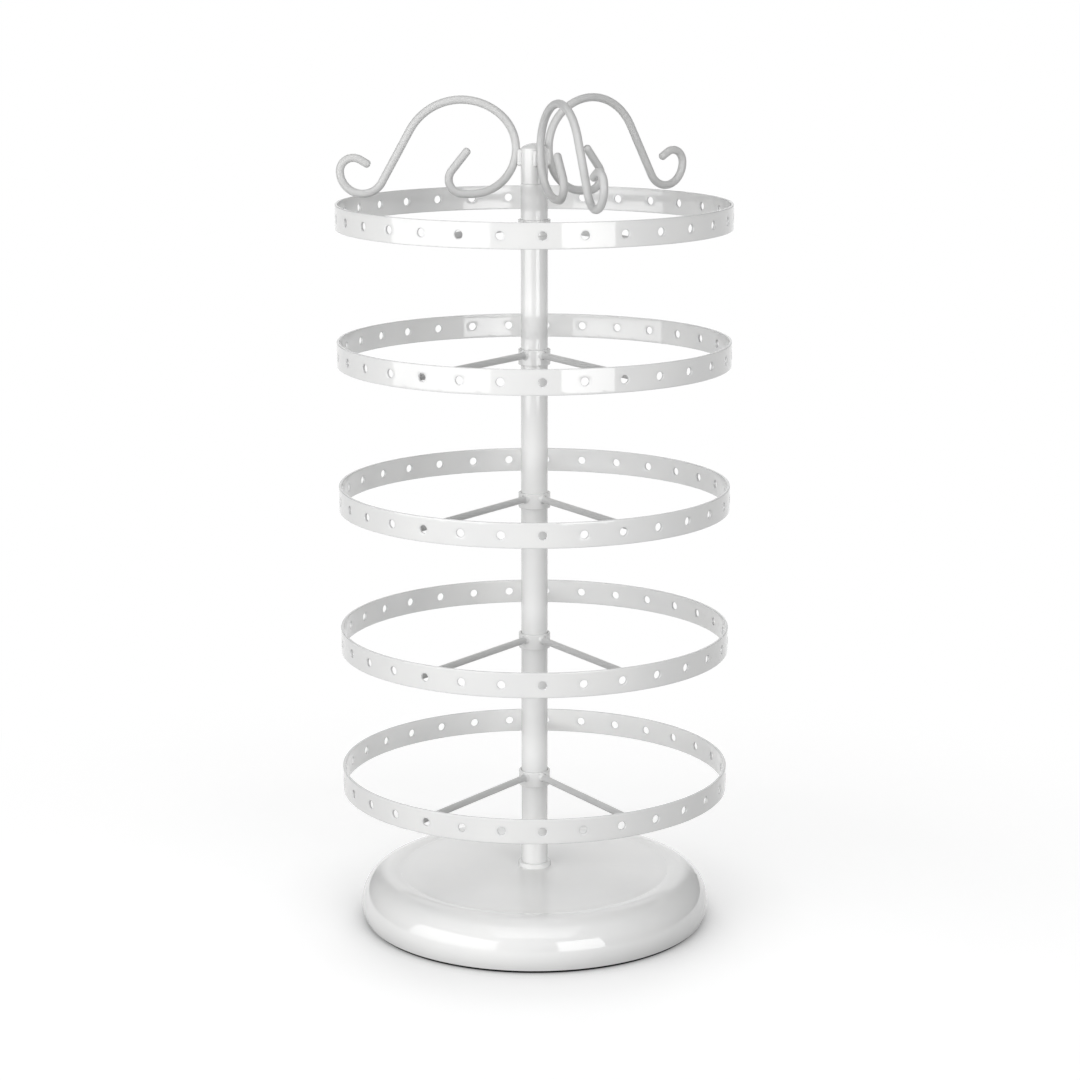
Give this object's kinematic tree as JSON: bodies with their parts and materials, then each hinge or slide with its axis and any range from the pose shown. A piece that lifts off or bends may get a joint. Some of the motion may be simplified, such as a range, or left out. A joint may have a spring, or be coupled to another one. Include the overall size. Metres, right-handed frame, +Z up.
{
  "type": "turning earring stand",
  "caption": "Free-standing tiered earring stand: pierced hoop bands on spoked hubs turn about a slim pole on a round weighted base, with bent-wire scroll hooks on top.",
  "frame": {"origin": "on the floor under the centre of the pole, the middle of the base's underside", "axes": "+Z up along the pole, -Y towards the front of the stand, +X to its right as seen from the front"},
  "size_m": [0.175, 0.175, 0.3748],
  "materials": {
    "white_enamel": "gloss white enamel over formed steel",
    "dark_foam": "matt black foam rubber",
    "cast_iron": "rough grey iron",
    "zinc_steel": "bright zinc plate",
    "bush_brass": "turned brass",
    "nylon": "natural nylon"
  },
  "bodies": {
    "stand": {"ballast_weight": "cast_iron", "base_bolt": "zinc_steel", "base_pad": "dark_foam", "base_shell": "white_enamel", "base_washer": "zinc_steel", "crown_post": "white_enamel", "crown_welds": "white_enamel", "foot_flange": "white_enamel", "foot_plug": "zinc_steel", "glide_washers": "nylon", "joint_studs": "zinc_steel", "pivot_bushes": "bush_brass", "pole_neck": "white_enamel", "pole_section_1": "white_enamel", "pole_section_2": "white_enamel", "pole_section_3": "white_enamel", "pole_section_4": "white_enamel", "pole_section_5": "white_enamel", "scroll_front": "white_enamel", "scroll_left": "white_enamel", "scroll_right": "white_enamel", "thread_plugs": "zinc_steel"},
    "tier_1": {"tier_1_band": "white_enamel", "tier_1_hub": "white_enamel", "tier_1_spoke_back": "white_enamel", "tier_1_spoke_left": "white_enamel", "tier_1_spoke_right": "white_enamel", "tier_1_welds": "white_enamel"},
    "tier_2": {"tier_2_band": "white_enamel", "tier_2_hub": "white_enamel", "tier_2_spoke_back": "white_enamel", "tier_2_spoke_left": "white_enamel", "tier_2_spoke_right": "white_enamel", "tier_2_welds": "white_enamel"},
    "tier_3": {"tier_3_band": "white_enamel", "tier_3_hub": "white_enamel", "tier_3_spoke_back": "white_enamel", "tier_3_spoke_left": "white_enamel", "tier_3_spoke_right": "white_enamel", "tier_3_welds": "white_enamel"},
    "tier_4": {"tier_4_band": "white_enamel", "tier_4_hub": "white_enamel", "tier_4_spoke_back": "white_enamel", "tier_4_spoke_left": "white_enamel", "tier_4_spoke_right": "white_enamel", "tier_4_welds": "white_enamel"},
    "tier_5": {"tier_5_band": "white_enamel", "tier_5_hub": "white_enamel", "tier_5_spoke_back": "white_enamel", "tier_5_spoke_left": "white_enamel", "tier_5_spoke_right": "white_enamel", "tier_5_welds": "white_enamel"}
  },
  "joints": [
    {"name": "tier_1_turn", "type": "hinge", "parent": "stand", "child": "tier_1", "pos_m": [0, 0, 0.3177], "axis": [0, 0, 1], "continuous": true},
    {"name": "tier_2_turn", "type": "hinge", "parent": "stand", "child": "tier_2", "pos_m": [0, 0, 0.2604], "axis": [0, 0, 1], "continuous": true},
    {"name": "tier_3_turn", "type": "hinge", "parent": "stand", "child": "tier_3", "pos_m": [0, 0, 0.1956], "axis": [0, 0, 1], "continuous": true},
    {"name": "tier_4_turn", "type": "hinge", "parent": "stand", "child": "tier_4", "pos_m": [0, 0, 0.1308], "axis": [0, 0, 1], "continuous": true},
    {"name": "tier_5_turn", "type": "hinge", "parent": "stand", "child": "tier_5", "pos_m": [0, 0, 0.066], "axis": [0, 0, 1], "continuous": true}
  ]
}
